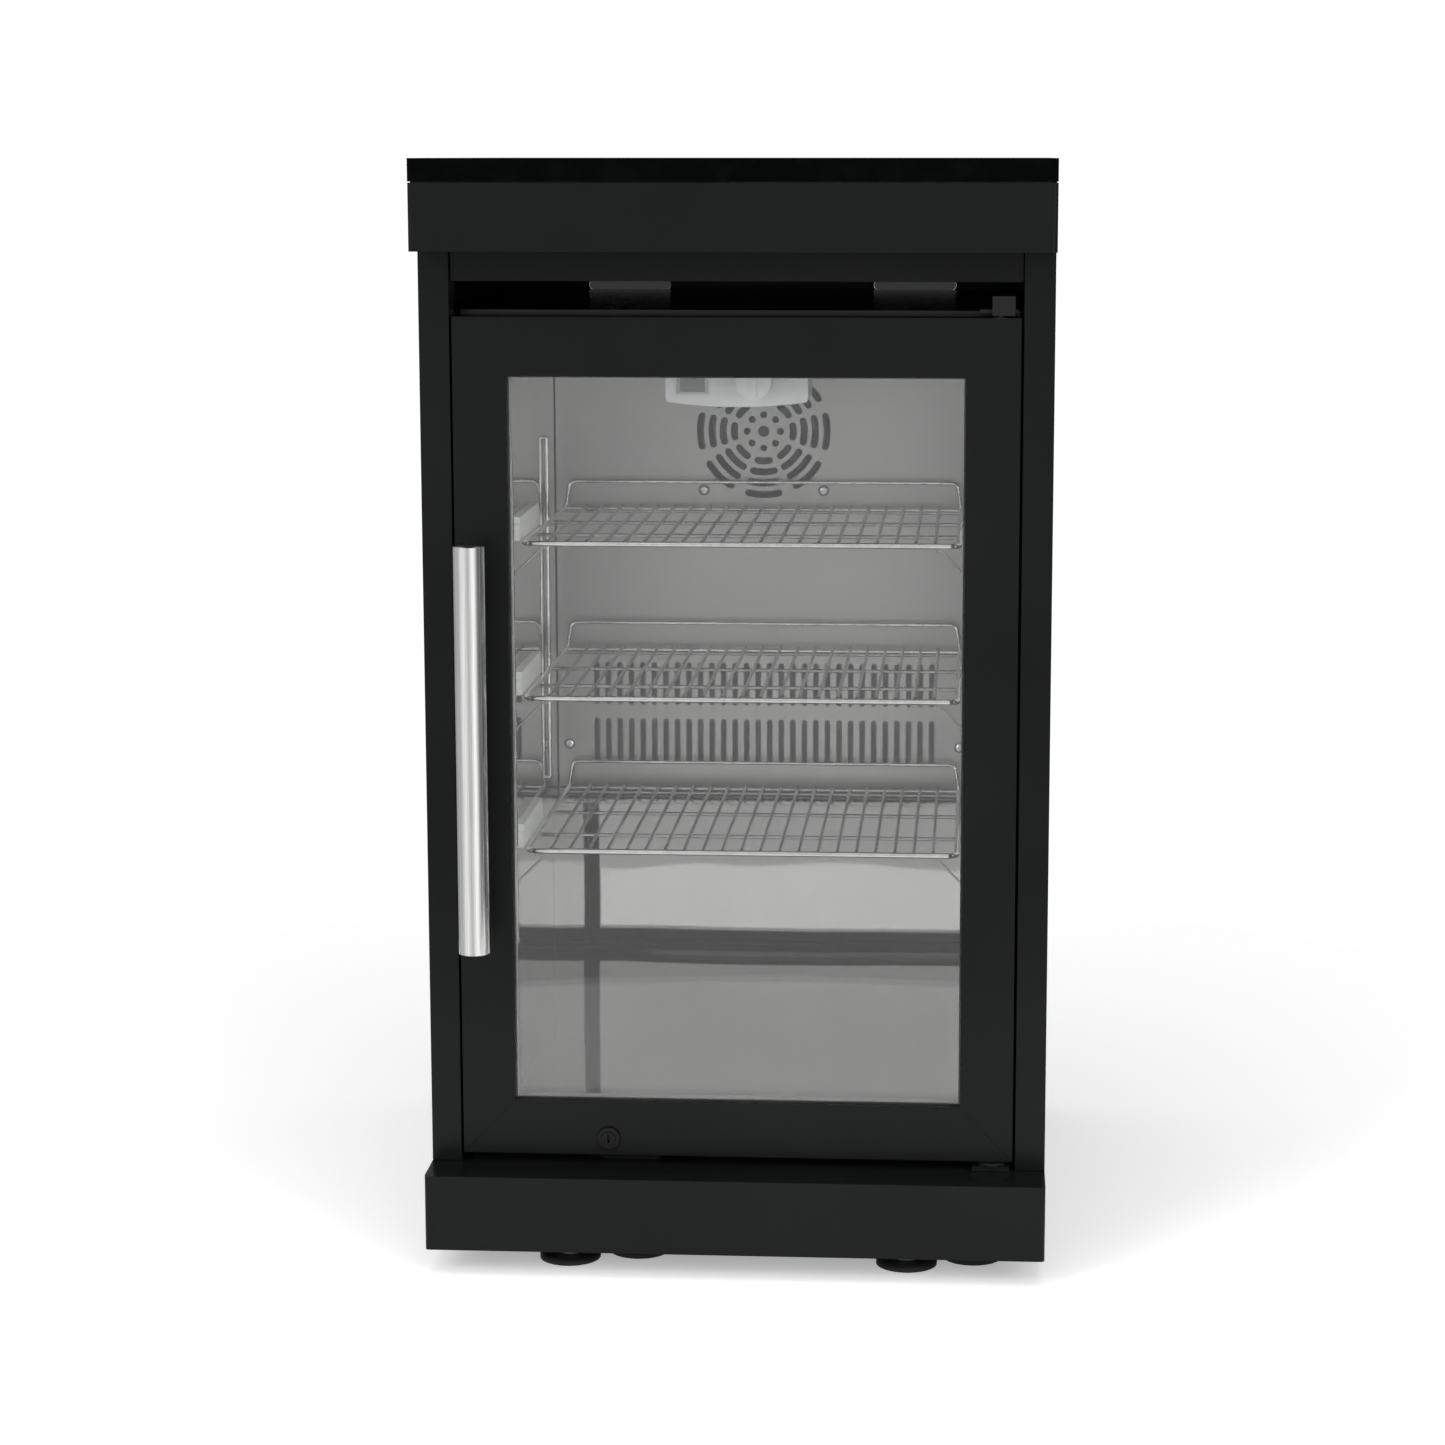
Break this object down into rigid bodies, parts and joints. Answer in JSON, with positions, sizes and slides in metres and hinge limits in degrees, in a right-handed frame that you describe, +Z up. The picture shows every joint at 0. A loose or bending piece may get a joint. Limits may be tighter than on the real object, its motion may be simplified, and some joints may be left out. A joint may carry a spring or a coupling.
{
  "type": "glass door merchandiser",
  "caption": "Upright glass door bottle cooler built into a free-standing cabinet with a worktop, fascia, plinth, side handle, wire shelves and levelling feet.",
  "frame": {"origin": "on the floor under the middle of the whole object, handle included", "axes": "+Z up, -Y towards the door, +X towards the hinge side"},
  "size_m": [0.56, 0.583, 1.002],
  "materials": {
    "benchtop": "polished",
    "panel_black": "satin",
    "rail_grey": "satin",
    "rubber_black": "matte",
    "zinc_steel": "satin",
    "casing_black": "gloss",
    "galvanised": "satin",
    "foam": "matte",
    "liner_steel": "polished",
    "breaker_plastic": "satin",
    "cover_steel": "satin",
    "screw_steel": "polished",
    "coil_aluminium": "satin",
    "motor_grey": "satin",
    "fan_plastic": "satin",
    "white_plastic": "satin",
    "display_plastic": "gloss",
    "chrome_wire": "polished",
    "clip_plastic": "satin",
    "compressor_black": "satin",
    "copper_pipe": "satin",
    "tray_plastic": "matte",
    "inlet_plastic": "satin",
    "door_black": "satin",
    "clear_glass": "polished",
    "spacer_aluminium": "satin",
    "back_sheet": "matte",
    "handle_steel": "satin",
    "lock_metal": "satin",
    "bush_nylon": "satin",
    "hinge_black": "satin"
  },
  "bodies": {
    "cabinet": {"benchtop": "benchtop", "fascia": "panel_black", "side_panel_left": "panel_black", "side_panel_right": "panel_black", "back_panel": "panel_black", "base_tray": "panel_black", "top_rail": "panel_black", "bench_supports": "rail_grey", "foot_pads": "rubber_black", "foot_stems": "zinc_steel", "foot_nuts": "zinc_steel", "back_panel_screws": "screw_steel", "cord_grommet": "rubber_black", "casing_wrap": "casing_black", "casing_back": "galvanised", "casing_base": "galvanised", "insulation": "foam", "liner_walls": "liner_steel", "liner_floor": "liner_steel", "liner_back": "back_sheet", "breaker_frame": "breaker_plastic", "evaporator_cover": "cover_steel", "cover_screws": "screw_steel", "evaporator_coil": "coil_aluminium", "evaporator_fan_motor": "motor_grey", "controller_box": "white_plastic", "controller_display": "display_plastic", "shelf_posts": "chrome_wire", "shelf_clips": "clip_plastic", "shelf_top": "chrome_wire", "shelf_middle": "chrome_wire", "shelf_bottom": "chrome_wire", "compressor": "compressor_black", "compressor_mounts": "rubber_black", "condenser": "motor_grey", "condenser_fan_motor": "motor_grey", "refrigerant_pipes": "copper_pipe", "drip_tray": "tray_plastic", "power_inlet": "inlet_plastic", "lock_strike": "hinge_black", "hinge_bracket_top": "hinge_black", "hinge_bracket_bottom": "hinge_black"},
    "door": {"door_rail_top": "door_black", "door_rail_bottom": "door_black", "door_stile_left": "door_black", "door_stile_right": "door_black", "outer_glass": "clear_glass", "inner_glass": "clear_glass", "glass_spacer": "spacer_aluminium", "door_gasket": "rubber_black", "handle_bar": "handle_steel", "handle_caps": "handle_steel", "handle_standoffs": "handle_steel", "lock_housing": "lock_metal", "hinge_bushes": "bush_nylon"},
    "lock": {"lock_barrel": "lock_metal"},
    "thermostat_knob": {"controller_knob": "white_plastic"},
    "evaporator_fan": {"evaporator_fan_blade": "fan_plastic"},
    "condenser_fan": {"condenser_fan_blade": "motor_grey"}
  },
  "joints": [
    {"name": "door_hinge", "type": "hinge", "parent": "cabinet", "child": "door", "pos_m": [0.232, -0.2245, 0.483], "axis": [0, 0, 1], "range_deg": [0, 110]},
    {"name": "lock_turn", "type": "hinge", "parent": "door", "child": "lock", "pos_m": [-0.117, -0.2205, 0.118], "axis": [0, 1, 0], "range_deg": [0, 90]},
    {"name": "knob_turn", "type": "hinge", "parent": "cabinet", "child": "thermostat_knob", "pos_m": [0.01, -0.1405, 0.801], "axis": [0, 1, 0], "range_deg": [-135, 135]},
    {"name": "evaporator_fan_spin", "type": "hinge", "parent": "cabinet", "child": "evaporator_fan", "pos_m": [0, 0.1725, 0.732], "axis": [0, 1, 0], "continuous": true},
    {"name": "condenser_fan_spin", "type": "hinge", "parent": "cabinet", "child": "condenser_fan", "pos_m": [0.12, 0.2045, 0.2], "axis": [0, 1, 0], "continuous": true}
  ]
}
